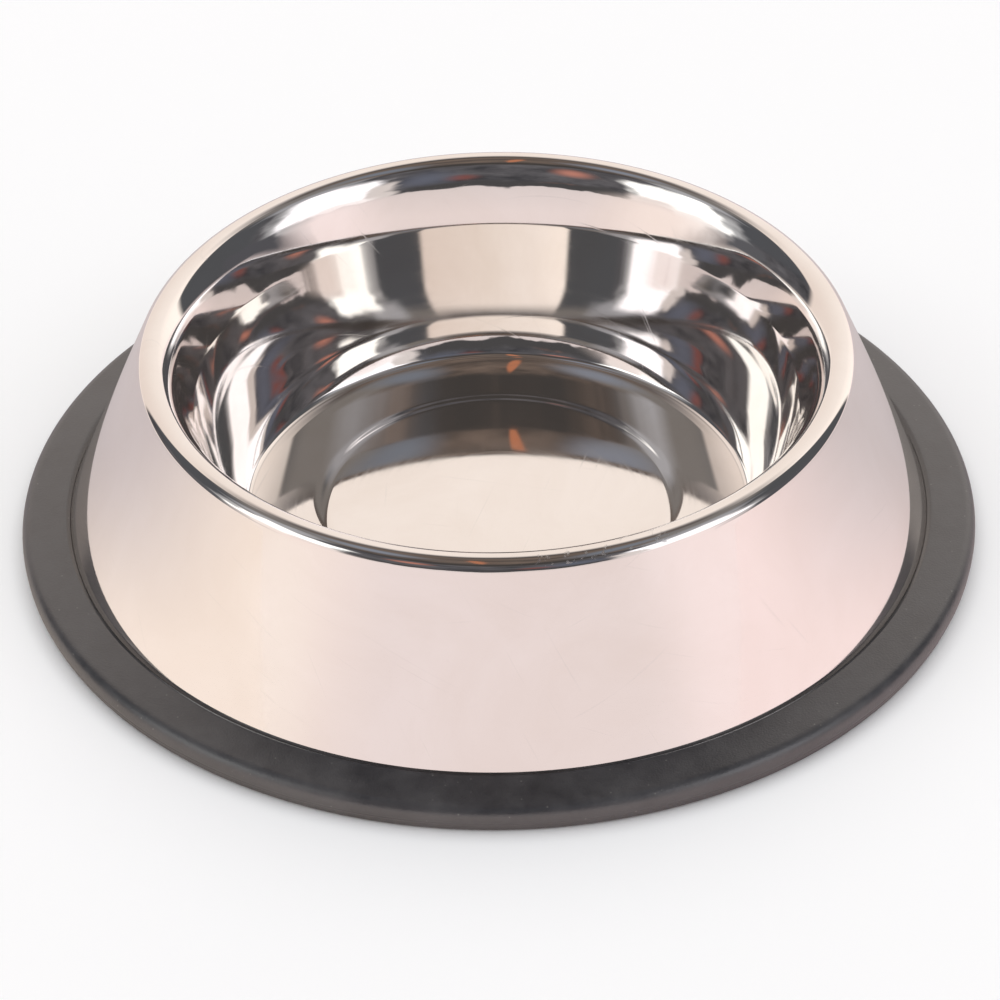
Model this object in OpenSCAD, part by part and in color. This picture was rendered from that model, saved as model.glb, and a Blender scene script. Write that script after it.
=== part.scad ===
// Stainless dog bowl with a wide cone-shaped skirt and a rubber ring round its foot.
// The steel is one pressed sheet. It runs from the middle of the floor, up the wall,
// over the rolled lip and down the skirt to a flat flange that the rubber ring grips.
// The origin is the middle of the footprint, on the surface that the bowl stands on.

/* [Overall] */
// Widest diameter, across the rubber ring
overall_d = 250; // [246:1:270]
// Height to the top of the lip
overall_h = 57; // [52:0.5:70]
// Thickness of the steel sheet
sheet_t = 0.6; // [0.5:0.1:1.0]

/* [Lip] */
// Diameter of the circle along the very top of the lip
lip_top_d = 177.2; // [172:0.1:186]
// Radius of the roll on the outside of the lip
lip_outer_r = 4.1; // [3:0.1:6]
// Radius of the roll on the inside of the lip
lip_inner_r = 4.3; // [3:0.1:6]
// Radius of the flare below the inside roll
flare_r = 17.6; // [12:0.1:24]
// Radius of the nearly straight throat below the flare
throat_r = 109; // [60:1:140]
// Radius of the shoulder where the throat turns down into the straight wall
shoulder_r = 14; // [8:0.5:30]

/* [Well] */
// Lean of the inside wall from vertical, in degrees
wall_lean = 15.8; // [14:0.2:17]
// Height of the floor's upper face above the ground
floor_z = 5.8; // [4:0.1:7]
// Radius of the slow bend at the foot of the wall
foot_slow_r = 32; // [24:0.5:40]
// Radius of the tight bend that meets the floor
foot_tight_r = 2.4; // [1.6:0.1:4]

/* [Floor disc] */
// Diameter at the middle of the step round the raised disc
disc_d = 92.8; // [60:0.1:110]
// Rise of the flat disc over the floor round it
disc_rise = 0.7; // [0.4:0.05:1.4]
// Width of the step
disc_step_w = 4.9; // [3:0.1:8]

/* [Skirt] */
// Radius where the skirt's outside meets the top of the rubber
skirt_foot_r = 112; // [108:0.1:114]
// Height where the skirt's outside meets the top of the rubber
skirt_foot_z = 8.2; // [7.6:0.1:9]
// Radius of the bend from skirt to flange, on its outside
flange_bend_r = 1.2; // [0.8:0.1:2]
// Width of the flat flange inside the rubber
flange_w = 4.6; // [3:0.1:6]
// Height of the flange's upper face
flange_z = 3.6; // [3:0.1:4.2]

/* [Rubber ring] */
// Width of the ring's flat foot
ring_foot_w = 13; // [11:0.5:16]
// Radius of the ring's lower outer edge
ring_edge_r = 1.6; // [0.8:0.1:2]
// Radius of the ring's outer shoulder
ring_shoulder_r = 3.4; // [2.6:0.1:4]
// Height of the middle of the shoulder
ring_shoulder_z = 4.2; // [3.8:0.1:4.8]
// Slope of the ring's top face, down and out, in degrees
ring_top_slope = 7; // [3:0.5:10]
// Width of the bevel where the ring's top meets the steel
ring_bevel_w = 1.3; // [0.8:0.1:2]
// Play round the flange's tip and bend, where the rubber doesn't grip
slot_play = 0.2; // [0.1:0.05:0.4]

/* [Hidden] */
$fn = 180;

// Largest turn between two points of an arc, in degrees
turn = 5;

// Points of an arc about c, from angle a0 to a1, both ends included
function arc(c, r, a0, a1) =
    let (n = max(1, ceil(abs(a1 - a0) / turn)))
    [for (i = [0:n]) let (a = a0 + (a1 - a0) * i / n) c + r * [cos(a), sin(a)]];

// The same points in the other order
function reversed(p) = [for (i = [len(p) - 1:-1:0]) p[i]];

// Where the sheet's bends change radius, as the lean of the visible face from vertical
flare_lean = 45;
throat_lean = 25;
shoulder_lean = 19.8;
foot_lean = 33.5;

// The way the well's visible face looks, inwards and up, at a given lean
function facing(lean) = [-cos(lean), sin(lean)];

// Inside of the lip: each bend starts where the one above it ends, with no corner between
lip_top = [lip_top_d / 2, overall_h];
lip_inner_c = lip_top - [0, lip_inner_r];
flare_c = lip_inner_c + (lip_inner_r - flare_r) * facing(flare_lean);
throat_c = flare_c + (flare_r - throat_r) * facing(throat_lean);
shoulder_c = throat_c + (throat_r - shoulder_r) * facing(shoulder_lean);
wall_top = shoulder_c + shoulder_r * facing(wall_lean);

// The wall runs down to two bends that turn the other way and end level, on the floor
foot_h = foot_slow_r * (sin(foot_lean) - sin(wall_lean)) + foot_tight_r * (1 - sin(foot_lean));
wall_h = wall_top[1] - floor_z - foot_h;
wall_foot = wall_top - wall_h * [tan(wall_lean), 1];
foot_slow_c = wall_foot + foot_slow_r * facing(wall_lean);
foot_tight_c = foot_slow_c + (foot_tight_r - foot_slow_r) * facing(foot_lean);

// The disc's step is two arcs of one radius, level at both ends
step_turn = 2 * atan(disc_rise / disc_step_w);
step_r = disc_step_w / 2 / sin(step_turn);
step_low_c = [(disc_d + disc_step_w) / 2, floor_z + step_r];
step_high_c = [(disc_d - disc_step_w) / 2, floor_z + disc_rise - step_r];

// The skirt is the straight line that leaves the outside roll and meets the ring's top
lip_outer_c = lip_top - [0, lip_outer_r];
to_foot = [skirt_foot_r, skirt_foot_z] - lip_outer_c;
skirt_lean = atan2(to_foot[1], to_foot[0]) + acos(lip_outer_r / norm(to_foot));
function skirt_r(z) = skirt_foot_r + (skirt_foot_z - z) * tan(skirt_lean);

// Inside the rubber the skirt bends out into the flange
flange_bend_z = flange_z + flange_bend_r;
flange_bend_c = [skirt_r(flange_bend_z) + flange_bend_r / cos(skirt_lean), flange_bend_z];
flange_tip_r = flange_bend_c[0] + flange_w;

// One face of the whole sheet, from the flange's tip to the middle of the floor.
// It is the visible face where d is 0, and the hidden one where d is sheet_t.
function sheet_face(d) = concat(
    [[flange_tip_r, flange_z - d]],
    arc(flange_bend_c, flange_bend_r + d, -90, skirt_lean - 180),
    arc(lip_outer_c, lip_outer_r - d, skirt_lean, 90),
    arc(lip_inner_c, lip_inner_r - d, 90, 180 - flare_lean),
    arc(flare_c, flare_r - d, 180 - flare_lean, 180 - throat_lean),
    arc(throat_c, throat_r - d, 180 - throat_lean, 180 - shoulder_lean),
    arc(shoulder_c, shoulder_r - d, 180 - shoulder_lean, 180 - wall_lean),
    arc(foot_slow_c, foot_slow_r + d, -wall_lean, -foot_lean),
    arc(foot_tight_c, foot_tight_r + d, -foot_lean, -90),
    arc(step_low_c, step_r + d, -90, -90 - step_turn),
    arc(step_high_c, step_r - d, 90 - step_turn, 90),
    [[0, floor_z + disc_rise - d]]);

module steel_bowl() {
    color("gainsboro")
        rotate_extrude()
            polygon(concat(sheet_face(0), reversed(sheet_face(sheet_t))));
}

// The ring's outside is two arcs and the line that touches both
ring_r = overall_d / 2;
shoulder_mid = [ring_r - ring_shoulder_r, ring_shoulder_z];
edge_mid = [ring_r - ring_edge_r - 0.7, ring_edge_r];
between = shoulder_mid - edge_mid;
side_a = atan2(between[1], between[0])
    - acos((ring_edge_r - ring_shoulder_r) / norm(between));
ring_top_a = 90 - ring_top_slope;
foot_in_r = edge_mid[0] - ring_foot_w;

// The ring's top face runs in to a bevel that dips to the steel
top_out = shoulder_mid + ring_shoulder_r * [cos(ring_top_a), sin(ring_top_a)];
bevel_r = skirt_foot_r + ring_bevel_w;
bevel_z = top_out[1] + (top_out[0] - bevel_r) * tan(ring_top_slope);
lip_z = skirt_foot_z - 0.4;

// The slot takes the skirt's end and the flange. It grips the flange above and below.
slot_bend = flange_bend_c
    + (flange_bend_r - slot_play) * [-cos(skirt_lean), -sin(skirt_lean)];
slot_neck_z = skirt_foot_z - 1;
slot_neck = [skirt_r(slot_neck_z) + slot_play / cos(skirt_lean), slot_neck_z];
slot_end_r = flange_tip_r + slot_play;
slot_low_z = flange_z - sheet_t;

module rubber_ring() {
    color("dimgray")
        rotate_extrude()
            polygon(concat(
                [[foot_in_r, 0.8], [foot_in_r + 0.8, 0]],
                arc(edge_mid, ring_edge_r, -90, side_a),
                arc(shoulder_mid, ring_shoulder_r, side_a, ring_top_a),
                [[bevel_r, bevel_z], [skirt_r(lip_z), lip_z], slot_neck, slot_bend],
                [[flange_bend_c[0], flange_z], [slot_end_r, flange_z]],
                [[slot_end_r, slot_low_z], [foot_in_r + 0.8, slot_low_z]],
                [[foot_in_r, slot_low_z - 0.8]]));
}

steel_bowl();
rubber_ring();
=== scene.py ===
# %% [markdown]
# # A pressed steel dog bowl
#
# The bowl has two pieces: one sheet of polished stainless steel, and a ring of black rubber
# that grips its foot. Almost all of its look is reflection, so the three things that matter
# here are a truly smooth surface, a steel that is a mirror with small faults, and a studio
# that is worth reflecting.
#
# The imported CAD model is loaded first. It gives the bowl's box, which the finished pieces
# must stay inside.

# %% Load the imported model
import math

import bpy
from mathutils import Matrix, Vector


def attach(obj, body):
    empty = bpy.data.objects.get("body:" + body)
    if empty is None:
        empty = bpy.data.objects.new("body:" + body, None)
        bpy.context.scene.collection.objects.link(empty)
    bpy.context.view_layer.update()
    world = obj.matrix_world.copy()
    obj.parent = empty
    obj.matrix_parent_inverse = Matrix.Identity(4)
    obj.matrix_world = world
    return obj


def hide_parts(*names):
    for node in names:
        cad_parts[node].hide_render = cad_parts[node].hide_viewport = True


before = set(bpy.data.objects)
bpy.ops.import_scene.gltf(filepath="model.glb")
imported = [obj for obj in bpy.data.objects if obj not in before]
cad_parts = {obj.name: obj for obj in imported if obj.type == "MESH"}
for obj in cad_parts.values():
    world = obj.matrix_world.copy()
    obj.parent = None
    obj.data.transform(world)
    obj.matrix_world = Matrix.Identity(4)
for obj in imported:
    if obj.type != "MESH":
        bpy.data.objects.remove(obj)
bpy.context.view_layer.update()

# %% [markdown]
# ## The bowl's sizes
#
# A lathe turns an outline about an axis. The bowl's outline is a chain of arcs that meet
# without a corner, each with its own radius, as a press tool has. The sizes are the ones that
# the CAD part is made with, in millimetres, and angles are in degrees.

# %% Sizes of the steel
MM = 0.001
OVERALL_D = 250.0
OVERALL_H = 57.0
SHEET_T = 0.6

LIP_TOP_D = 177.2
LIP_OUTER_R = 4.1
LIP_INNER_R = 4.3
FLARE_R = 17.6
THROAT_R = 109.0
SHOULDER_R = 14.0
FLARE_LEAN = 45.0
THROAT_LEAN = 25.0
SHOULDER_LEAN = 19.8

WALL_LEAN = 15.8
FLOOR_Z = 5.8
FOOT_LEAN = 33.5
FOOT_SLOW_R = 32.0
FOOT_TIGHT_R = 2.4

DISC_D = 92.8
DISC_RISE = 0.7
DISC_STEP_W = 4.9

SKIRT_FOOT_R = 112.0
SKIRT_FOOT_Z = 8.2
FLANGE_BEND_R = 1.2
FLANGE_W = 4.6
FLANGE_Z = 3.6
print("bowl", OVERALL_D, "mm wide and", OVERALL_H, "mm high")

# %% [markdown]
# Two helpers draw the outline. An arc becomes short straight steps, and in a mirror each step
# shows, so the turn between two points is kept small. A straight line needs points as well:
# smooth shading bends the normals of a long flat strip towards its neighbours, and short
# strips at its ends keep that bend out of sight. A third helper drops the points that come
# twice, where one stretch ends and the next one starts.

# %% Arcs and lines of an outline
TURN = 2.5


def sine(angle):
    """The sine of an angle in degrees"""
    return math.sin(math.radians(angle))


def cosine(angle):
    """The cosine of an angle in degrees"""
    return math.cos(math.radians(angle))


def polar(angle):
    """The unit direction at an angle in degrees"""
    return Vector((cosine(angle), sine(angle)))


def arc(centre, radius, start, end, turn=TURN):
    """Points of an arc, with at most turn degrees between them, both ends included"""
    steps = max(2, math.ceil(abs(end - start) / turn))
    return [centre + radius * polar(start + (end - start) * i / steps) for i in range(steps + 1)]


def strip(start, end, shares=(0.02, 0.06, 0.2, 0.4, 0.6, 0.8, 0.94, 0.98)):
    """Points between the ends of a straight line, closer together near both ends"""
    return [start.lerp(end, share) for share in shares]


def without_repeats(points, gap=1e-4):
    """The same points without the ones that fall on the one before"""
    kept = [points[0]]
    for point in points[1:]:
        if (point - kept[-1]).length > gap:
            kept.append(point)
    return kept


# %% [markdown]
# The centre of each bend follows from the one above it. Where two arcs meet without a corner,
# their centres and the meeting point lie on one line, so the next centre is the last one,
# moved along the way the sheet faces there by the difference of the two radii.

# %% Centres of the sheet's bends
def facing(lean):
    """The way the well's visible face looks, inwards and up, at a lean from upright"""
    return Vector((-cosine(lean), sine(lean)))


lip_top = Vector((LIP_TOP_D / 2, OVERALL_H))
lip_inner_c = lip_top - Vector((0, LIP_INNER_R))
flare_c = lip_inner_c + (LIP_INNER_R - FLARE_R) * facing(FLARE_LEAN)
throat_c = flare_c + (FLARE_R - THROAT_R) * facing(THROAT_LEAN)
shoulder_c = throat_c + (THROAT_R - SHOULDER_R) * facing(SHOULDER_LEAN)
wall_top = shoulder_c + SHOULDER_R * facing(WALL_LEAN)

foot_slow_h = FOOT_SLOW_R * (sine(FOOT_LEAN) - sine(WALL_LEAN))
foot_h = foot_slow_h + FOOT_TIGHT_R * (1 - sine(FOOT_LEAN))
wall_h = wall_top.y - FLOOR_Z - foot_h
wall_foot = wall_top - wall_h * Vector((math.tan(math.radians(WALL_LEAN)), 1))
foot_slow_c = wall_foot + FOOT_SLOW_R * facing(WALL_LEAN)
foot_tight_c = foot_slow_c + (FOOT_TIGHT_R - FOOT_SLOW_R) * facing(FOOT_LEAN)
print("wall from", wall_top, "to", wall_foot)

# %% [markdown]
# The floor has a flat disc in its middle, pressed up by less than a millimetre. Its step is two
# arcs of one radius that turn opposite ways. On the outside, the skirt is the straight line that
# leaves the lip's outer roll and ends at the rubber, where the sheet turns out into a flange.

# %% Centres of the disc's step and of the skirt's end
step_turn = 2 * math.degrees(math.atan(DISC_RISE / DISC_STEP_W))
step_r = DISC_STEP_W / 2 / sine(step_turn)
step_low_c = Vector(((DISC_D + DISC_STEP_W) / 2, FLOOR_Z + step_r))
step_high_c = Vector(((DISC_D - DISC_STEP_W) / 2, FLOOR_Z + DISC_RISE - step_r))

lip_outer_c = lip_top - Vector((0, LIP_OUTER_R))
to_foot = Vector((SKIRT_FOOT_R, SKIRT_FOOT_Z)) - lip_outer_c
skirt_lean = math.degrees(
    math.atan2(to_foot.y, to_foot.x) + math.acos(LIP_OUTER_R / to_foot.length)
)


def skirt_r(z):
    """Radius of the skirt's outer face at a height"""
    return SKIRT_FOOT_R + (SKIRT_FOOT_Z - z) * math.tan(math.radians(skirt_lean))


flange_bend_z = FLANGE_Z + FLANGE_BEND_R
flange_bend_c = Vector(
    (skirt_r(flange_bend_z) + FLANGE_BEND_R / cosine(skirt_lean), flange_bend_z)
)
flange_tip_r = flange_bend_c.x + FLANGE_W
print("skirt leans", round(skirt_lean, 2), "degrees; flange ends at", round(flange_tip_r, 2))

# %% [markdown]
# The visible face of the whole sheet is one line: from the flange's tip, round the bend under
# the rubber, up the skirt, over the lip, down the well and across the floor to the axis.

# %% Outline of the steel's visible face
skirt_foot = arc(flange_bend_c, FLANGE_BEND_R, -90, skirt_lean - 180, turn=8)
lip = arc(lip_outer_c, LIP_OUTER_R, skirt_lean, 90) + arc(
    lip_inner_c, LIP_INNER_R, 90, 180 - FLARE_LEAN
)
well_mouth = (
    arc(flare_c, FLARE_R, 180 - FLARE_LEAN, 180 - THROAT_LEAN, turn=1.5)
    + arc(throat_c, THROAT_R, 180 - THROAT_LEAN, 180 - SHOULDER_LEAN, turn=0.5)
    + arc(shoulder_c, SHOULDER_R, 180 - SHOULDER_LEAN, 180 - WALL_LEAN, turn=1.5)
)
foot_bend = arc(foot_slow_c, FOOT_SLOW_R, -WALL_LEAN, -FOOT_LEAN, turn=2) + arc(
    foot_tight_c, FOOT_TIGHT_R, -FOOT_LEAN, -90
)
disc_step = arc(step_low_c, step_r, -90, -90 - step_turn, turn=2) + arc(
    step_high_c, step_r, 90 - step_turn, 90, turn=2
)
disc_middle = Vector((0, FLOOR_Z + DISC_RISE))

steel_outline = without_repeats(
    [Vector((flange_tip_r, FLANGE_Z))]
    + skirt_foot
    + strip(skirt_foot[-1], lip[0])
    + lip
    + well_mouth
    + strip(well_mouth[-1], foot_bend[0])
    + foot_bend
    + strip(foot_bend[-1], disc_step[0], shares=(0.05, 0.2, 0.5, 0.8, 0.95))
    + disc_step
    + strip(disc_step[-1], disc_middle, shares=(0.03, 0.12, 0.4, 0.7))
    + [disc_middle]
)
print(len(steel_outline), "points from the flange's tip to the axis")

# %% [markdown]
# ## Turning an outline on the lathe
#
# By hand this is done in edit mode: one vertex is extruded from point to point until the whole
# outline is drawn, and Spin turns it round the axis. A small plane is the start. Merging its
# corners leaves the one vertex. Spin closes the last step onto the first, and the points that
# lie on the axis are merged into one, so that no hole is left at the pole.

# %% The lathe
SPIN_STEPS = 288


def deselect_all():
    """Leaves nothing selected"""
    for obj in bpy.context.selected_objects:
        obj.select_set(False)


def turn_on_lathe(name, outline, closed=False):
    """Draws the outline in edit mode, spins it about the bowl's axis and returns the object"""
    deselect_all()
    start = outline[0] * MM
    bpy.ops.mesh.primitive_plane_add(size=MM, location=(start.x, 0, start.y))
    piece = bpy.context.object
    piece.name = piece.data.name = name
    bpy.ops.object.transform_apply(location=True, rotation=True, scale=True)
    bpy.ops.object.mode_set(mode="EDIT")
    bpy.ops.mesh.select_mode(type="VERT")
    bpy.ops.mesh.select_all(action="SELECT")
    bpy.ops.mesh.merge(type="CENTER")
    way = outline[1:] + (outline[:1] if closed else [])
    for here, there in zip(outline, way):
        move = (there - here) * MM
        bpy.ops.mesh.extrude_region_move(TRANSFORM_OT_translate={"value": (move.x, 0, move.y)})
    bpy.ops.mesh.select_all(action="SELECT")
    bpy.ops.mesh.remove_doubles(threshold=1e-7)
    bpy.ops.mesh.select_all(action="SELECT")
    bpy.ops.mesh.spin(steps=SPIN_STEPS, angle=math.tau, center=(0, 0, 0), axis=(0, 0, 1))
    bpy.ops.mesh.select_all(action="SELECT")
    bpy.ops.mesh.remove_doubles(threshold=1e-6)
    bpy.ops.mesh.normals_make_consistent(inside=False)
    bpy.ops.object.mode_set(mode="OBJECT")
    return piece


def face_outwards(piece):
    """Turns the faces of a piece over if the ones at its very top look down"""
    highest = max(piece.data.polygons, key=lambda face: face.center.z)
    if highest.normal.z > 0:
        return
    bpy.ops.object.mode_set(mode="EDIT")
    bpy.ops.mesh.select_all(action="SELECT")
    bpy.ops.mesh.flip_normals()
    bpy.ops.object.mode_set(mode="OBJECT")


# %% [markdown]
# ## The steel sheet
#
# The outline is the visible face only. Solidify then gives the sheet its thickness on the
# hidden side, the same all over, as pressing leaves it. The CAD node is the same shape in flat
# facets. A mirror would show each facet, so the smooth sheet takes its place.

# %% Model the steel bowl
STEEL_CREASE = 35.0

steel = turn_on_lathe("polished_steel_bowl", steel_outline)
face_outwards(steel)
sheet = steel.modifiers.new("sheet thickness", "SOLIDIFY")
sheet.thickness = SHEET_T * MM
sheet.offset = -1
sheet.use_even_offset = True
bpy.ops.object.modifier_apply(modifier=sheet.name)
bpy.ops.object.shade_smooth_by_angle(angle=math.radians(STEEL_CREASE))
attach(steel, "root")
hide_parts("steel_bowl")
print(steel.name, len(steel.data.polygons), "faces")

# %% [markdown]
# ## The rubber ring
#
# The ring's section is a C that lies on its back: a flat foot, a rounded outer edge, a top that
# slopes down and out, a bevel that dips to the steel, and a slot that holds the flange. It is
# turned on the same lathe, from a closed outline. The CAD part is cut in facets, whose corners
# reach the full radius and whose flats don't, so the smooth ring is a hair smaller. The mould's
# two halves meet low on the outside and leave a fine ridge there, the parting line.

# %% Sizes of the ring
RING_FOOT_W = 13.0
RING_FOOT_CHAMFER = 0.8
RING_EDGE_R = 1.6
RING_SHOULDER_R = 3.4
RING_SHOULDER_Z = 4.2
RING_TOP_SLOPE = 7.0
RING_BEVEL_W = 1.3
RING_OVERHANG = 0.7
RING_INSET = 0.04
RING_LIP_DROP = 0.4
SLOT_PLAY = 0.2
SLOT_NECK_DROP = 1.0
PARTING_Z = 2.75
PARTING_RIDGE = 0.16
PARTING_W = 0.5

ring_r = OVERALL_D / 2 - RING_INSET
shoulder_mid = Vector((ring_r - RING_SHOULDER_R, RING_SHOULDER_Z))
edge_mid = Vector((ring_r - RING_EDGE_R - RING_OVERHANG, RING_EDGE_R))
between = shoulder_mid - edge_mid
side_a = math.degrees(
    math.atan2(between.y, between.x)
    - math.acos((RING_EDGE_R - RING_SHOULDER_R) / between.length)
)
ring_top_a = 90 - RING_TOP_SLOPE
print("ring", ring_r, "mm in radius, its side faces", round(side_a, 2), "degrees")

# %% Corners of the ring's foot, lip and slot
foot_in_r = edge_mid.x - RING_FOOT_W
foot_flat_r = foot_in_r + RING_FOOT_CHAMFER
top_out = shoulder_mid + RING_SHOULDER_R * polar(ring_top_a)
bevel_r = SKIRT_FOOT_R + RING_BEVEL_W
bevel_z = top_out.y + (top_out.x - bevel_r) * math.tan(math.radians(RING_TOP_SLOPE))
ring_top_in = Vector((bevel_r, bevel_z))
lip_z = SKIRT_FOOT_Z - RING_LIP_DROP
ring_lip = Vector((skirt_r(lip_z), lip_z))

slot_neck_z = SKIRT_FOOT_Z - SLOT_NECK_DROP
slot_neck = Vector((skirt_r(slot_neck_z) + SLOT_PLAY / cosine(skirt_lean), slot_neck_z))
slot_bend = flange_bend_c + (FLANGE_BEND_R - SLOT_PLAY) * Vector(
    (-cosine(skirt_lean), -sine(skirt_lean))
)
slot_end_r = flange_tip_r + SLOT_PLAY
slot_low_z = FLANGE_Z - SHEET_T
print("slot ends at", round(slot_end_r, 2), "mm and its lower face is at", slot_low_z)

# %% Outline of the ring
side_low = edge_mid + RING_EDGE_R * polar(side_a)
side_high = shoulder_mid + RING_SHOULDER_R * polar(side_a)
ridge_at = side_low.lerp(side_high, (PARTING_Z - side_low.y) / (side_high.y - side_low.y))
along = (side_high - side_low).normalized() * PARTING_W / 2
parting_line = [ridge_at - along, ridge_at + PARTING_RIDGE * polar(side_a), ridge_at + along]

ring_outline = without_repeats(
    [Vector((foot_in_r, RING_FOOT_CHAMFER)), Vector((foot_flat_r, 0))]
    + arc(edge_mid, RING_EDGE_R, -90, side_a, turn=6)
    + parting_line
    + arc(shoulder_mid, RING_SHOULDER_R, side_a, ring_top_a, turn=5)
    + [top_out.lerp(ring_top_in, share) for share in (0.1, 0.5, 0.9)]
    + [ring_top_in, ring_lip, slot_neck, slot_bend]
    + [Vector((flange_bend_c.x, FLANGE_Z)), Vector((slot_end_r, FLANGE_Z))]
    + [Vector((slot_end_r, slot_low_z)), Vector((foot_flat_r, slot_low_z))]
    + [Vector((foot_in_r, slot_low_z - RING_FOOT_CHAMFER))]
)
print(len(ring_outline), "points round the ring's section, parting line at", ridge_at)

# %% Model the rubber ring
MOULD_CORNER = 0.2
MOULD_CORNER_ABOVE = 25.0
RUBBER_CREASE = 30.0

rubber = turn_on_lathe("black_rubber_ring", ring_outline, closed=True)
face_outwards(rubber)
soft = rubber.modifiers.new("moulded corners", "BEVEL")
soft.width = MOULD_CORNER * MM
soft.segments = 2
soft.limit_method = "ANGLE"
soft.angle_limit = math.radians(MOULD_CORNER_ABOVE)
bpy.ops.object.modifier_apply(modifier=soft.name)
bpy.ops.object.shade_smooth_by_angle(angle=math.radians(RUBBER_CREASE))
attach(rubber, "root")
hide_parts("rubber_ring")
print(rubber.name, len(rubber.data.polygons), "faces")

# %% [markdown]
# ## Materials
#
# A few small helpers keep the node trees readable. The first ones add a node or a node group
# and set its sockets: a number or colour is written on the socket, and another node's output is
# linked to it.

# %% Helpers that add nodes
def fill(tree, node, sockets):
    """Sets a node's sockets, by name or number, to a value or to an output to link from"""
    for key, value in sockets.items():
        if isinstance(value, bpy.types.NodeSocket):
            tree.links.new(value, node.inputs[key])
        else:
            node.inputs[key].default_value = value
    return node


def add(tree, kind, sockets, **settings):
    """Adds a node with its settings and its sockets"""
    made = tree.nodes.new(kind)
    for key, value in settings.items():
        setattr(made, key, value)
    return fill(tree, made, sockets)


def use(tree, group, sockets):
    """Places a node group in a tree, with its own values"""
    placed = tree.nodes.new("ShaderNodeGroup")
    placed.node_tree = group
    return fill(tree, placed, sockets)


def floats(*names):
    """The sockets of a node group that are plain numbers"""
    return [(name, "Float") for name in names]


def new_group(name, inputs, outputs):
    """A shader node group, what it is given, and the node that takes its results"""
    group = bpy.data.node_groups.new(name, "ShaderNodeTree")
    for in_out, sockets in (("INPUT", inputs), ("OUTPUT", outputs)):
        for label, kind in sockets:
            group.interface.new_socket(label, in_out=in_out, socket_type="NodeSocket" + kind)
    given = group.nodes.new("NodeGroupInput").outputs
    return group, given, group.nodes.new("NodeGroupOutput")


def new_material(piece, name):
    """Gives a piece a new material, and returns its node tree and its shader"""
    material = bpy.data.materials.new(name)
    material.use_nodes = True
    piece.data.materials.append(material)
    return material.node_tree, material.node_tree.nodes["Principled BSDF"]


# %% [markdown]
# The others are for the kinds of node that come again and again: sums, soft steps, mixed
# colours, cloudy noise and bumps.

# %% Helpers for the common nodes
def maths(tree, operation, first, *rest):
    """One maths operation on a value, or on several values one after another"""
    if not rest:
        return add(tree, "ShaderNodeMath", {0: first}, operation=operation).outputs[0]
    for value in rest:
        first = add(tree, "ShaderNodeMath", {0: first, 1: value}, operation=operation).outputs[0]
    return first


def ramp(tree, value, low, high, start=0.0, end=1.0, smooth=False):
    """A value that is start up to low, end from high on, and slides from one to the other"""
    return add(
        tree,
        "ShaderNodeMapRange",
        {"Value": value, "From Min": low, "From Max": high, "To Min": start, "To Max": end},
        interpolation_type="SMOOTHSTEP" if smooth else "LINEAR",
    ).outputs["Result"]


def blend(tree, share, first, second):
    """The first colour where share is 0 and the second where it is 1"""
    sockets = {0: share, 6: first, 7: second}
    return add(tree, "ShaderNodeMix", sockets, data_type="RGBA").outputs[2]


def stretched(tree, position, factors):
    """A position multiplied by its own factor along each axis"""
    sockets = {0: position, 1: factors}
    return add(tree, "ShaderNodeVectorMath", sockets, operation="MULTIPLY").outputs[0]


def noise(tree, position, scale, detail, roughness=0.5, distortion=0.0):
    """A cloudy pattern of values between 0 and 1"""
    sockets = {"Vector": position, "Scale": scale, "Detail": detail}
    sockets.update({"Roughness": roughness, "Distortion": distortion})
    return add(tree, "ShaderNodeTexNoise", sockets).outputs[0]


def bump(tree, height, depth, under=None, invert=False):
    """A normal that follows a height, laid over another normal if one is given"""
    sockets = {"Height": height, "Distance": depth, "Strength": 1.0}
    if under is not None:
        sockets["Normal"] = under
    return add(tree, "ShaderNodeBump", sockets, invert=invert).outputs[0]


# %% [markdown]
# A bump strong enough to see in a matt surface would wreck a mirror, so the steel's groups work
# with slopes of a fraction of a degree. All of them read Object coordinates, which are metres
# from the bowl's own axis, so a ring round the axis is simply a constant radius.

# %% Shared group: place on the bowl as radius, height and angle
place_group, given, result = new_group(
    "place_on_bowl", [], [("Position", "Vector")] + floats("Radius", "Height", "Angle")
)
position = add(place_group, "ShaderNodeTexCoord", {}).outputs["Object"]
split = add(place_group, "ShaderNodeSeparateXYZ", {0: position}).outputs
flat = add(place_group, "ShaderNodeCombineXYZ", {0: split["X"], 1: split["Y"]}).outputs[0]
radius = add(place_group, "ShaderNodeVectorMath", {0: flat}, operation="LENGTH").outputs["Value"]
toward = maths(place_group, "MULTIPLY", split["Y"], -1.0)
angle = maths(place_group, "DEGREES", maths(place_group, "ARCTAN2", split["X"], toward))
fill(
    place_group,
    result,
    {"Position": position, "Radius": radius, "Height": split["Z"], "Angle": angle},
)
print("place group has", len(place_group.nodes), "nodes")

# %% [markdown]
# ### Polished stainless steel
#
# Stainless steel is a neutral mirror with a slight warmth, which grows with every bounce. Five
# faults make it real: the sheet is a little wavy from the press, the buffing wheel has left
# hairlines that run round the bowl, a few scratches cross them, the lip is worn where it gets
# scraped, and hands have left a faint film. Hairlines and scratches share a node group, and
# each of the others has its own.

# %% [markdown]
# A press leaves the sheet very slightly wavy, and a mirror makes that plain: a straight edge in
# the studio comes back as a line that swims. The waves are a few hundredths of a millimetre
# deep, too little to move the mesh for, so a broad noise bends the normals instead.

# %% Group: waves left by the press
waves_group, given, result = new_group(
    "press_waves", floats("Depth", "Size"), [("Normal", "Vector")]
)
at = use(waves_group, place_group, {}).outputs
wave_scale = maths(waves_group, "DIVIDE", 1.0, given["Size"])
broad = noise(waves_group, at["Position"], wave_scale, 1.0, roughness=0.4)
fill(waves_group, result, {"Normal": bump(waves_group, broad, given["Depth"])})
print("wave group has", len(waves_group.nodes), "nodes")

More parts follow.
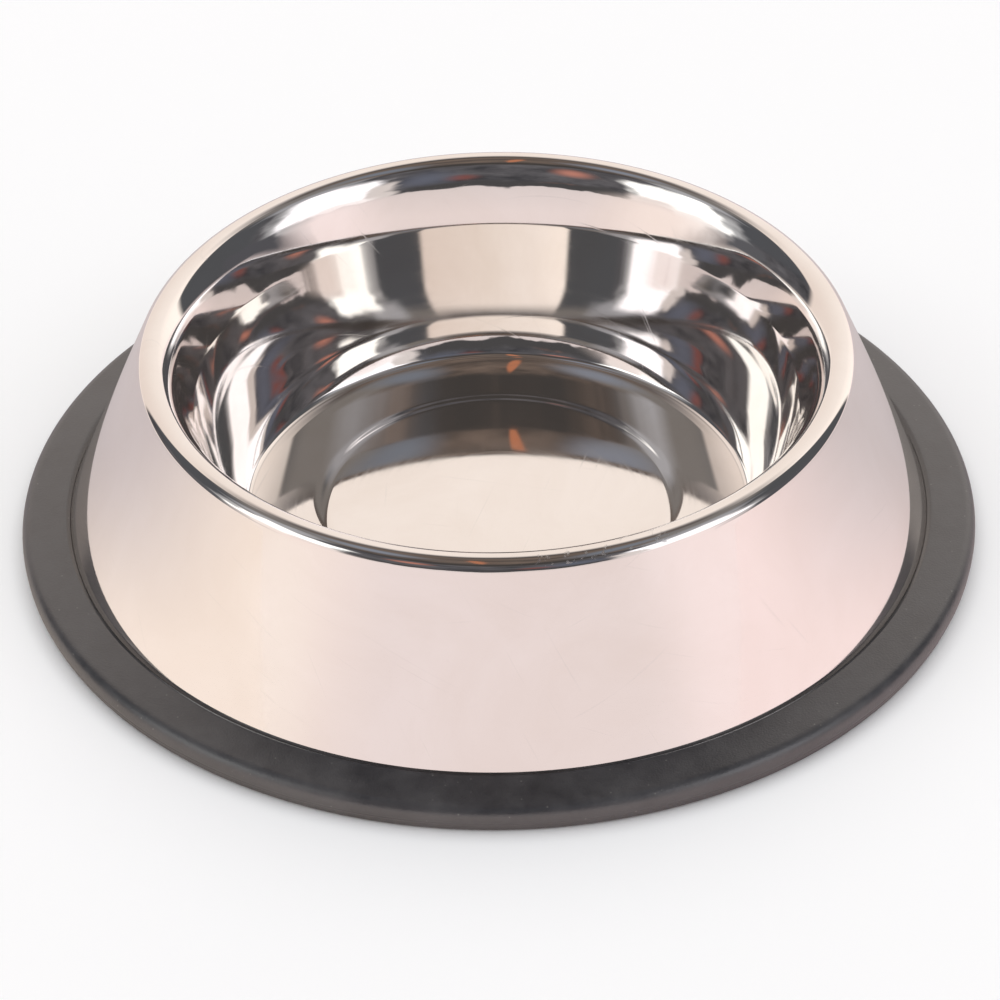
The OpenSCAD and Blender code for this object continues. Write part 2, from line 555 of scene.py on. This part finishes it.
# %% [markdown]
# The bowl is polished while it turns, so the hairlines run round its axis. A noise that is read
# by radius and height alone gives whole rings. When it is also read by a little of the sideways
# place, they change slowly on their way round, and there is no seam behind the bowl, as an angle
# would leave. A scratch is a noise that is squeezed across and drawn out along, of which only
# the highest peaks are kept. Three of them, turned different ways, cross one another.

# %% Group: hairlines of the buffing wheel, and stray scratches across them
HAIR_DRIFT = 0.004
HAIR_PATCHES = 35.0
SCRATCH_LEANS = ((0.3, 0.5, 0.4), (0.9, -0.4, 1.7), (-0.6, 1.1, 2.6))
SCRATCH_STRETCH = (1500.0, 26.0, 40.0)
SCRATCH_FAINT = 0.735
SCRATCH_FULL = 0.8

lines_group, given, result = new_group(
    "buffing_lines", floats("Lines per Metre", "Scratches"), floats("Lines", "Scratches")
)
at = use(lines_group, place_group, {}).outputs
aside = add(lines_group, "ShaderNodeSeparateXYZ", {0: at["Position"]}).outputs["X"]
drift = maths(lines_group, "MULTIPLY", aside, HAIR_DRIFT)
hair_sockets = {"X": at["Radius"], "Y": at["Height"], "Z": drift}
hair_place = add(lines_group, "ShaderNodeCombineXYZ", hair_sockets).outputs[0]
hairs = noise(lines_group, hair_place, given["Lines per Metre"], 3.0, roughness=0.7)
patches = noise(lines_group, at["Position"], HAIR_PATCHES, 2.0)
lines = maths(lines_group, "MULTIPLY", hairs, patches)

marks = []
for lean in SCRATCH_LEANS:
    turned = add(
        lines_group,
        "ShaderNodeVectorRotate",
        {"Vector": at["Position"], "Rotation": lean},
        rotation_type="EULER_XYZ",
    ).outputs[0]
    mark = noise(lines_group, stretched(lines_group, turned, SCRATCH_STRETCH), 1.0, 1.0)
    marks.append(ramp(lines_group, mark, SCRATCH_FAINT, SCRATCH_FULL))
scratches = maths(lines_group, "MAXIMUM", *marks)
scratches = maths(lines_group, "MULTIPLY", scratches, given["Scratches"])
fill(lines_group, result, {"Lines": lines, "Scratches": scratches})
print("line group has", len(lines_group.nodes), "nodes")

# %% [markdown]
# One stretch of the lip has short scrapes from use. They are a drawn-out noise again, kept to
# a range of angles and to the very top of the lip.

# %% Group: short scrapes on one stretch of the lip
DASH_STRETCH = (600.0, 250.0, 1500.0)
DASH_FAINT = 0.58
DASH_FULL = 0.66

wear_group, given, result = new_group(
    "lip_scrapes", floats("Angle", "Half Width", "Lowest Height"), floats("Scrapes")
)
at = use(wear_group, place_group, {}).outputs
off = maths(wear_group, "ABSOLUTE", maths(wear_group, "SUBTRACT", at["Angle"], given["Angle"]))
off = maths(wear_group, "DIVIDE", off, given["Half Width"])
near = ramp(wear_group, off, 0.5, 1.0, start=1.0, end=0.0, smooth=True)
high = maths(wear_group, "GREATER_THAN", at["Height"], given["Lowest Height"])
dashes = noise(wear_group, stretched(wear_group, at["Position"], DASH_STRETCH), 1.0, 2.0)
dashes = ramp(wear_group, dashes, DASH_FAINT, DASH_FULL)
fill(wear_group, result, {"Scrapes": maths(wear_group, "MULTIPLY", dashes, near, high)})
print("wear group has", len(wear_group.nodes), "nodes")

# %% [markdown]
# Steel that has been handled keeps a faint, uneven film, which shows as soft patches that are a
# little darker and warmer. The group gives a mask alone, and the steel mixes two tints by it.

# %% Group: the faint film that hands leave
FILM_CLEAN = 0.35
FILM_FULL = 0.68

film_group, given, result = new_group("handling_film", floats("Patch Size"), floats("Film"))
at = use(film_group, place_group, {}).outputs
film_scale = maths(film_group, "DIVIDE", 1.0, given["Patch Size"])
film = noise(film_group, at["Position"], film_scale, 5.0, roughness=0.62, distortion=0.6)
fill(film_group, result, {"Film": ramp(film_group, film, FILM_CLEAN, FILM_FULL)})
print("film group has", len(film_group.nodes), "nodes")

# %% [markdown]
# The steel's roughness follows the hairlines, and both bumps are laid over the waves. Scratches
# dull it a little and scrapes dull it much more, and where it is worn it is a darker grey too.

# %% Values of the steel
STEEL_TINT = (0.94, 0.917, 0.903, 1)
STEEL_FILMED = (0.892, 0.856, 0.828, 1)
STEEL_WORN = (0.80, 0.79, 0.78, 1)
ROUGHNESS_LOW = 0.025
ROUGHNESS_HIGH = 0.085
ROUGHNESS_SCRAPED = 0.38
PRESS_WAVES = {"Depth": 0.045 * MM, "Size": 42 * MM}
LINES_PER_METRE = 900.0
HAIR_DEPTH = 0.00025 * MM
HAIRS_THIN = 0.15
HAIRS_DENSE = 0.45
SCRATCH_DEPTH = 0.0007 * MM
SCRATCH_DULLING = 0.25
LIP_WEAR = {"Angle": 17.0, "Half Width": 16.0, "Lowest Height": 55.6 * MM}
FILM_PATCH = 45 * MM
print("press waves are", PRESS_WAVES["Depth"], "m deep")

# %% The steel
tree, shader = new_material(steel, "polished_stainless_steel")
waves = use(tree, waves_group, PRESS_WAVES).outputs["Normal"]
lines = use(tree, lines_group, {"Lines per Metre": LINES_PER_METRE, "Scratches": 1.0}).outputs
scrapes = use(tree, wear_group, LIP_WEAR).outputs["Scrapes"]
film = use(tree, film_group, {"Patch Size": FILM_PATCH}).outputs["Film"]

hair_normal = bump(tree, lines["Lines"], HAIR_DEPTH, under=waves)
normal = bump(tree, lines["Scratches"], SCRATCH_DEPTH, under=hair_normal, invert=True)
worn = maths(tree, "MULTIPLY", lines["Scratches"], SCRATCH_DULLING)
worn = maths(tree, "MAXIMUM", worn, scrapes)
polish = ramp(tree, lines["Lines"], HAIRS_THIN, HAIRS_DENSE, ROUGHNESS_LOW, ROUGHNESS_HIGH)
rough = add(
    tree, "ShaderNodeMix", {0: worn, 2: polish, 3: ROUGHNESS_SCRAPED}, data_type="FLOAT"
).outputs[0]
tint = blend(tree, worn, blend(tree, film, STEEL_TINT, STEEL_FILMED), STEEL_WORN)
fill(tree, shader, {"Metallic": 1.0, "Base Color": tint, "Roughness": rough, "Normal": normal})
print("steel material on", steel.name)

# %% [markdown]
# ### Black moulded rubber
#
# The ring is soft black rubber with a dull gloss. Its moulded skin has a fine grain and is
# mottled, duller where it is paler, and it picks up specks of pale dust.

# %% Group: skin of moulded rubber
MOTTLE_SCALE = 70.0
MOTTLE_DARK = 0.34
MOTTLE_PALE = 0.68
SPECKS_PER_METRE = 650.0
SPECK_CORE = 0.08
SPECK_EDGE = 0.2
SPECK_RARITY = 0.9
GRAIN_DEPTH = 0.06 * MM

skin_group, given, result = new_group(
    "rubber_skin", floats("Grain Size", "Dust"), floats("Mottle", "Dust") + [("Normal", "Vector")]
)
at = use(skin_group, place_group, {}).outputs
mottle = noise(skin_group, at["Position"], MOTTLE_SCALE, 8.0, roughness=0.72)
mottle = ramp(skin_group, mottle, MOTTLE_DARK, MOTTLE_PALE)

speck_sockets = {"Vector": at["Position"], "Scale": SPECKS_PER_METRE}
specks = add(skin_group, "ShaderNodeTexVoronoi", speck_sockets).outputs
small = ramp(skin_group, specks["Distance"], SPECK_CORE, SPECK_EDGE, start=1.0, end=0.0)
chance = add(skin_group, "ShaderNodeSeparateXYZ", {0: specks["Color"]}).outputs["X"]
rare = maths(skin_group, "GREATER_THAN", chance, SPECK_RARITY)
dust = maths(skin_group, "MULTIPLY", small, rare, given["Dust"])

grain_scale = maths(skin_group, "DIVIDE", 1.0, given["Grain Size"])
grain = bump(skin_group, noise(skin_group, at["Position"], grain_scale, 2.0), GRAIN_DEPTH)
fill(skin_group, result, {"Mottle": mottle, "Dust": dust, "Normal": grain})
print("skin group has", len(skin_group.nodes), "nodes")

# %% The rubber
RUBBER_DARK = (0.015, 0.0165, 0.021, 1)
RUBBER_PALE = (0.047, 0.048, 0.052, 1)
RUBBER_DUST = (0.22, 0.21, 0.20, 1)
RUBBER_IOR = 1.62
RUBBER_GLOSSY = 0.3
RUBBER_DULL = 0.42
RUBBER_SKIN = {"Grain Size": 0.55 * MM, "Dust": 0.5}

tree, shader = new_material(rubber, "black_moulded_rubber")
skin = use(tree, skin_group, RUBBER_SKIN).outputs
mottled = blend(tree, skin["Mottle"], RUBBER_DARK, RUBBER_PALE)
dusty = blend(tree, skin["Dust"], mottled, RUBBER_DUST)
rough = ramp(tree, skin["Mottle"], 0.0, 1.0, RUBBER_GLOSSY, RUBBER_DULL)
fill(tree, shader, {"Base Color": dusty, "Roughness": rough, "Normal": skin["Normal"]})
fill(tree, shader, {"Specular IOR Level": 1.0, "IOR": RUBBER_IOR})
print("rubber material on", rubber.name)

# %% [markdown]
# ## The studio
#
# A mirror shows nothing of its own, so the studio is drawn with care. It is a world that is
# painted by direction: a dark room, a cream backdrop behind the bowl, a softbox on each side, a
# pale band in front at the height of the table, and dim things overhead. Azimuth 0 looks from
# the bowl towards the camera and a plus is to the right. Elevation is measured from level.

# %% [markdown]
# Two shapes are enough for all that the studio holds. A panel is a range of azimuth and a range
# of elevation, and a spot is an oval. Both have soft edges and give a mask alone, by which one
# colour after another is laid over what is already there, from the far walls forwards.

# %% Soft edges that both studio groups use
def fade(tree, value, place, blur, rising):
    """A mask that rises or falls smoothly past a place"""
    low = maths(tree, "SUBTRACT", place, blur)
    high = maths(tree, "ADD", place, blur)
    start, end = (0.0, 1.0) if rising else (1.0, 0.0)
    return ramp(tree, value, low, high, start, end, smooth=True)


# %% Group: a panel with four soft edges, the lower one tilted if wanted
PANEL_SOCKETS = ("Azimuth", "Elevation", "From", "To", "Side Blur")
PANEL_SOCKETS += ("Bottom", "Top", "Bottom Blur", "Top Blur", "Tilt")

panel_group, given, result = new_group("studio_panel", floats(*PANEL_SOCKETS), floats("Mask"))
middle = maths(panel_group, "MULTIPLY", maths(panel_group, "ADD", given["From"], given["To"]), 0.5)
lift = maths(panel_group, "SUBTRACT", given["Azimuth"], middle)
lift = maths(panel_group, "MULTIPLY", lift, given["Tilt"])
tilted = maths(panel_group, "SUBTRACT", given["Elevation"], lift)
mask = maths(
    panel_group,
    "MULTIPLY",
    fade(panel_group, given["Azimuth"], given["From"], given["Side Blur"], rising=True),
    fade(panel_group, given["Azimuth"], given["To"], given["Side Blur"], rising=False),
    fade(panel_group, tilted, given["Bottom"], given["Bottom Blur"], rising=True),
    fade(panel_group, given["Elevation"], given["Top"], given["Top Blur"], rising=False),
)
fill(panel_group, result, {"Mask": mask})
print("panel group has", len(panel_group.nodes), "nodes")

# %% Group: a round or oval spot with a soft edge
SPOT_SOCKETS = ("Across", "Up", "Centre Across", "Centre Up")
SPOT_SOCKETS += ("Half Width", "Half Height", "Softness")

spot_group, given, result = new_group("studio_spot", floats(*SPOT_SOCKETS), floats("Mask"))
across = maths(spot_group, "SUBTRACT", given["Across"], given["Centre Across"])
across = maths(spot_group, "DIVIDE", across, given["Half Width"])
up = maths(spot_group, "SUBTRACT", given["Up"], given["Centre Up"])
up = maths(spot_group, "DIVIDE", up, given["Half Height"])
offset = add(spot_group, "ShaderNodeCombineXYZ", {0: across, 1: up}).outputs[0]
distance = add(spot_group, "ShaderNodeVectorMath", {0: offset}, operation="LENGTH")
mask = fade(spot_group, distance.outputs["Value"], 1.0, given["Softness"], rising=False)
fill(spot_group, result, {"Mask": mask})
print("spot group has", len(spot_group.nodes), "nodes")

# %% [markdown]
# A world is asked for a colour by direction, so each direction is first turned into azimuth and
# elevation. Overhead, where all azimuths meet, a flat map round the zenith takes their place.
#
# The foot of the wall sees the bowl again and again before it sees the room, so the mirror
# bounces are raised. With too few of them those places come out black. The studio has no small
# bright lamp, so a coarse map of where its light comes from is enough.

# %% The world's directions
MIRROR_BOUNCES = 10
LIGHT_MAP_SIZE = 256

world = bpy.data.worlds.new("plain_studio")
bpy.context.scene.world = world
world.cycles.sampling_method = "MANUAL"
world.cycles.sample_map_resolution = LIGHT_MAP_SIZE
bpy.context.scene.cycles.glossy_bounces = MIRROR_BOUNCES
world.use_nodes = True
sky = world.node_tree
ray = add(sky, "ShaderNodeTexCoord", {}).outputs["Generated"]
xyz = add(sky, "ShaderNodeSeparateXYZ", {0: ray}).outputs
toward = maths(sky, "MULTIPLY", xyz["Y"], -1.0)
turn = maths(sky, "ARCTAN2", xyz["X"], toward)
azimuth = maths(sky, "DEGREES", turn)
around = maths(sky, "ABSOLUTE", azimuth)
elevation = maths(sky, "DEGREES", maths(sky, "ARCSINE", xyz["Z"]))
from_zenith = maths(sky, "SUBTRACT", 90.0, elevation)
overhead_x = maths(sky, "MULTIPLY", from_zenith, maths(sky, "SINE", turn))
overhead_y = maths(sky, "MULTIPLY", from_zenith, maths(sky, "COSINE", turn))
print("directions take", len(sky.nodes), "nodes")

# %% [markdown]
# An edge in the studio that is ruled straight looks drawn, and nothing in a pressed bowl's
# mirror does. So most panels use directions that a slow noise moves by a few degrees.

# %% Edges that aren't ruled
WAVER_SCALE = 7.0


def waver(value, seed, amount):
    """A direction in degrees that wanders a little, so that no edge in the studio is ruled"""
    sockets = {0: ray, 1: (seed, 0.0, 0.0)}
    moved = add(sky, "ShaderNodeVectorMath", sockets, operation="ADD").outputs[0]
    shift = ramp(sky, noise(sky, moved, WAVER_SCALE, 2.0), 0.0, 1.0, -amount, amount)
    return maths(sky, "ADD", value, shift)


rough_azimuth = waver(azimuth, seed=3.0, amount=6.0)
rough_elevation = waver(elevation, seed=8.0, amount=5.0)
print("with wavering edges", len(sky.nodes), "nodes")

# %% Painting the studio piece by piece
studio = {"colour": None, "pieces": 0}


def paint(label, tint, placed):
    """Lays one more piece of the studio over what is already there"""
    placed.label = label
    if not isinstance(tint, bpy.types.NodeSocket):
        tint = (*tint, 1)
    studio["colour"] = blend(sky, placed.outputs["Mask"], studio["colour"], tint)
    studio["pieces"] += 1


def panel(label, tint, sides, heights, tilt=0.0, both=False, ruled=False):
    """A panel, or a pair of them if both is true, in degrees of azimuth and elevation.

    sides is (from, to, blur) and heights is (bottom, top, bottom blur, top blur). Its edges
    waver unless it is ruled or one of a pair.
    """
    seen_at = (rough_azimuth, rough_elevation)
    if ruled:
        seen_at = (azimuth, elevation)
    if both:
        seen_at = (around, elevation)
    values = dict(zip(PANEL_SOCKETS, (*seen_at, *sides, *heights, tilt)))
    paint(label, tint, use(sky, panel_group, values))


def spot(label, tint, centre, size, softness, overhead=False):
    """A spot at (azimuth, elevation), or overhead, in degrees from the zenith"""
    seen_at = (overhead_x, overhead_y) if overhead else (azimuth, elevation)
    values = dict(zip(SPOT_SOCKETS, (*seen_at, *centre, *size, softness)))
    paint(label, tint, use(sky, spot_group, values))


# %% [markdown]
# The room comes first. It isn't even: a slow noise makes it a place and not a colour.

# %% The dark room
ROOM_DARK = (0.04, 0.04, 0.045, 1)
ROOM_DIM = (0.145, 0.14, 0.15, 1)
CEILING_DARK = (0.07, 0.06, 0.055, 1)
CEILING_DIM = (0.20, 0.155, 0.13, 1)

clutter = ramp(sky, noise(sky, ray, 5.0, 4.0, roughness=0.6), 0.3, 0.7)
studio["colour"] = blend(sky, clutter, ROOM_DARK, ROOM_DIM)
ceiling_tint = blend(sky, clutter, CEILING_DARK, CEILING_DIM)
print("room painted")

# %% The ceiling
WARM_BEAM = (0.5, 0.2, 0.11)
COOL_LEFT = (0.24, 0.26, 0.31)
COOL_RIGHT = (0.19, 0.21, 0.25)

panel("ceiling", ceiling_tint, (-400, 400, 1), (60, 200, 5, 1), ruled=True)
panel(
    "pale sides of the ceiling", (0.21, 0.195, 0.185), (82, 132, 14), (46, 74, 9, 7), both=True
)
panel("dark part of the ceiling", (0.06, 0.055, 0.053), (-50, 50, 10), (58, 70, 2, 4))
spot("cool light, left", COOL_LEFT, (-17, -4), (6, 9), 0.8, overhead=True)
spot("cool light, right", COOL_RIGHT, (16, 0), (5, 12), 0.8, overhead=True)
spot("warm beam", WARM_BEAM, (-3.2, 5), (1.0, 12), 0.3, overhead=True)
print(studio["pieces"], "pieces overhead")

# %% Warm and cool things in the room
spot("warm lamp", (0.5, 0.22, 0.17), (-31, 46), (6, 5), 0.9)
spot("warm shelf", (0.6, 0.27, 0.19), (-24, 24), (6, 3), 0.8)
spot("dim red", (0.22, 0.08, 0.07), (12, 36), (5, 4), 0.9)
spot("cool wall", (0.13, 0.14, 0.18), (25, 38), (9, 10), 0.9)
panel("shade below the room", (0.07, 0.068, 0.07), (-44, 30, 5), (16, 28, 2, 3))
print(studio["pieces"], "pieces in the room and overhead")

# %% [markdown]
# The floor of the well is level, so its front half shows what hangs behind the bowl: a cream
# sheet that is brighter on the right. Between it and the softbox on each side is a dim gap.

# %% The backdrop, which is brighter on the right
BACKDROP_LEFT = (0.86, 0.74, 0.67, 1)
BACKDROP_MIDDLE = (0.96, 0.86, 0.79, 1)
BACKDROP_NEAR_RIGHT = (1.01, 0.91, 0.84, 1)
BACKDROP_RIGHT = (1.2, 1.09, 1.0, 1)

sideways = ramp(sky, xyz["X"], -0.8, 0.8)
backdrop_tint = add(sky, "ShaderNodeValToRGB", {0: sideways})
backdrop_tint.color_ramp.elements[0].color = BACKDROP_LEFT
backdrop_tint.color_ramp.elements[1].color = BACKDROP_RIGHT
backdrop_tint.color_ramp.elements.new(0.5).color = BACKDROP_MIDDLE
backdrop_tint.color_ramp.elements.new(0.75).color = BACKDROP_NEAR_RIGHT
panel("slate gap, left", (0.085, 0.088, 0.097), (-130, -94, 4), (18, 48, 4, 5), ruled=True)
panel("slate gap, right", (0.085, 0.088, 0.095), (90, 130, 4), (4, 50, 4, 5), ruled=True)
panel("backdrop", backdrop_tint.outputs[0], (128, 400, 2), (-100, 53, 1, 9), both=True)
print(studio["pieces"], "pieces with the backdrop")

# %% [markdown]
# The softboxes stand left and right, a little towards the camera, and make the brightest bars
# in the well. A softbox also lights what is near it, so each has a glow above, a grey flank on
# either side and a dimmer part below. What a softbox hides is painted before it.

# %% The softboxes and what stands beside and below them
SOFTBOX_LEFT = (1.45, 1.45, 1.42)
SOFTBOX_RIGHT = (1.45, 1.42, 1.47)

panel("glow above the left softbox", (0.42, 0.42, 0.44), (-102, -74, 6), (40, 60, 3, 5))
panel("glow above the right softbox", (0.36, 0.36, 0.38), (58, 98, 8), (42, 60, 3, 8))
panel("grey left of the left softbox", (0.45, 0.45, 0.46), (-94, -76, 4), (9, 38, 4, 5))
panel("grey right of the right softbox", (0.42, 0.42, 0.43), (62, 85, 4), (8, 42, 4, 5))
panel("left softbox", SOFTBOX_LEFT, (-87, -51, 3), (17, 46, 3, 3.5), tilt=0.12)
panel("right softbox", SOFTBOX_RIGHT, (43, 79, 4), (19, 48, 3, 4), tilt=-0.1)
panel("inner flank, left", (0.86, 0.78, 0.75), (-64, -47, 2.5), (14, 27, 2, 3))
panel("inner flank, right", (0.74, 0.68, 0.66), (35, 46, 2.5), (14, 40, 2, 4))
panel("left softbox, low part", (1.1, 1.08, 1.06), (-79, -62, 4), (6, 22, 3, 2))
panel("right softbox, low part", (1.15, 1.1, 1.1), (43, 63, 4), (9, 23, 3, 2))
print(studio["pieces"], "pieces with the softboxes")

# %% [markdown]
# From the camera, the skirt shows what is low in front and at the sides: a pale band, paler
# still at its two ends, the dark feet of the softboxes, and the far edges of the table.

# %% What stands on the table in front
BAND_LOW = (0.87, 0.755, 0.735, 1)
BAND_HIGH = (0.74, 0.66, 0.65, 1)
EDGE_LEFT = (1.01, 0.89, 0.82)
EDGE_RIGHT = (1.01, 0.855, 0.84)

band_tint = blend(sky, ramp(sky, elevation, 9.0, 19.0), BAND_LOW, BAND_HIGH)
panel("band in front", band_tint, (-64, 64, 1), (-100, 18.6, 1, 0.8))
spot("left end of the band", (1.0, 0.86, 0.8), (-60, 9), (18, 12), 0.9)
spot("right end of the band", (1.0, 0.855, 0.84), (58, 9), (14, 12), 0.9)
panel("dark foot, left", (0.11, 0.11, 0.12), (-102, -87, 3), (3.5, 17, 1.5, 2.5))
panel("dark foot, right", (0.09, 0.09, 0.1), (79, 104, 3), (3.5, 18, 1.5, 2.5))
panel("far edge of the table, left", EDGE_LEFT, (-400, -50, 10), (-100, 3, 1, 2), ruled=True)
panel("far edge of the table, right", EDGE_RIGHT, (50, 400, 10), (-100, 3, 1, 2), ruled=True)

# %% [markdown]
# From a low angle the camera looks past the table. It sees a plain pale backdrop there, about
# as bright as the table. The studio gives its light and shows in reflections, and nowhere else.

# %% Plain backdrop for the camera
PLAIN_BACKDROP = (0.97, 0.95, 0.94, 1)

looked_at = add(sky, "ShaderNodeLightPath", {}).outputs["Is Camera Ray"]
shown = blend(sky, looked_at, studio["colour"], PLAIN_BACKDROP)
fill(sky, sky.nodes["Background"], {"Color": shown, "Strength": 1.0})
print(studio["pieces"], "pieces in the studio")

# %% [markdown]
# ## The table
#
# The table is a plain pale floor. To the camera it is one even white that keeps the bowl's
# shadow. In the steel it is seen at a low angle, and there its colour is painted light and shade:
# it is warm in front, and cooler and dimmer round the sides, where less light falls.

# %% The table's card
TABLE_METRES = 60
TABLE_WHITE = (0.945, 0.965, 0.98, 1)
# Painted light and shade that only mirrors see: warm and pink light in front, dimmer cooler shade
# at the sides.
TABLE_PAINTED_WARM_LIGHT = (0.97, 0.87, 0.79, 1)
TABLE_PAINTED_PINK_LIGHT = (0.97, 0.825, 0.815, 1)
TABLE_PAINTED_SIDE_SHADE = (0.62, 0.57, 0.58, 1)
TABLE_FRONT_ANGLE = 60.0
TABLE_SIDE_FROM = 68.0
TABLE_SIDE_TO = 112.0

deselect_all()
bpy.ops.mesh.primitive_plane_add(size=TABLE_METRES, location=(0, 0, 0))
floor = bpy.context.object
floor.name = "pale_floor"
tree, shader = new_material(floor, "pale_floor")
angle = use(tree, place_group, {}).outputs["Angle"]
# Painted light and shade: the table's tone for mirror rays is lit warm in front and shaded round
# the sides.
across = ramp(tree, angle, -TABLE_FRONT_ANGLE, TABLE_FRONT_ANGLE, smooth=True)
side = ramp(tree, maths(tree, "ABSOLUTE", angle), TABLE_SIDE_FROM, TABLE_SIDE_TO, smooth=True)
painted_light_and_shade = blend(tree, side, blend(tree, across, TABLE_PAINTED_WARM_LIGHT, TABLE_PAINTED_PINK_LIGHT), TABLE_PAINTED_SIDE_SHADE)
mirrored = add(tree, "ShaderNodeLightPath", {}).outputs["Is Glossy Ray"]
seen = blend(tree, mirrored, TABLE_WHITE, painted_light_and_shade)
fill(tree, shader, {"Base Color": seen, "Roughness": 1.0, "Specular IOR Level": 0.0})
print("table is", floor.name)

# %% [markdown]
# A very wide soft lamp from straight above gives the table its brightness and the soft shadow
# under the ring. It is hidden from mirrors, because the studio already gives what they show.

# %% Soft light from above
LIGHT_SPREAD = 110.0
LIGHT_POWER = 1.9

bpy.ops.object.light_add(type="SUN", location=(0, 0, 2))
lamp = bpy.context.object
lamp.name = "soft_overhead_light"
lamp.data.angle = math.radians(LIGHT_SPREAD)
lamp.data.energy = LIGHT_POWER
lamp.visible_glossy = False
print("light in place")

# %% [markdown]
# ## The camera
#
# The camera's place and lens were worked out from five of the bowl's circles in the photograph.
# It stands a little over a metre away, straight in front of the bowl, and looks down at it
# through a long lens. It is turned by less than a degree.

# %% Camera at the photograph's angle
LOOK_DOWN = 37.311
DISTANCE = 1183.23
AIM_HEIGHT = 6.416
ROLL = -0.8852
YAW = 0.02
SENSOR_W = 36
FOCAL_PER_WIDTH = 4.5

bpy.ops.object.camera_add()
camera = bpy.context.object
camera.name = "photo_camera"
camera.data.sensor_width = SENSOR_W
camera.data.lens = FOCAL_PER_WIDTH * SENSOR_W
turn_down = Matrix.Rotation(math.radians(90 - LOOK_DOWN), 4, "X")
turn_side = Matrix.Rotation(math.radians(-YAW), 4, "Y")
turn_roll = Matrix.Rotation(math.radians(ROLL), 4, "Z")
back = DISTANCE * cosine(LOOK_DOWN)
above = DISTANCE * sine(LOOK_DOWN) + AIM_HEIGHT
place = Vector((0, -back, above)) * MM
camera.matrix_world = Matrix.Translation(place) @ turn_down @ turn_side @ turn_roll
camera.data.clip_start = 0.05
camera.data.clip_end = 100
bpy.context.scene.camera = camera
bpy.context.scene.view_settings.view_transform = "Standard"
print("camera at", [round(v, 4) for v in place])

# %% Finish
bpy.context.view_layer.update()
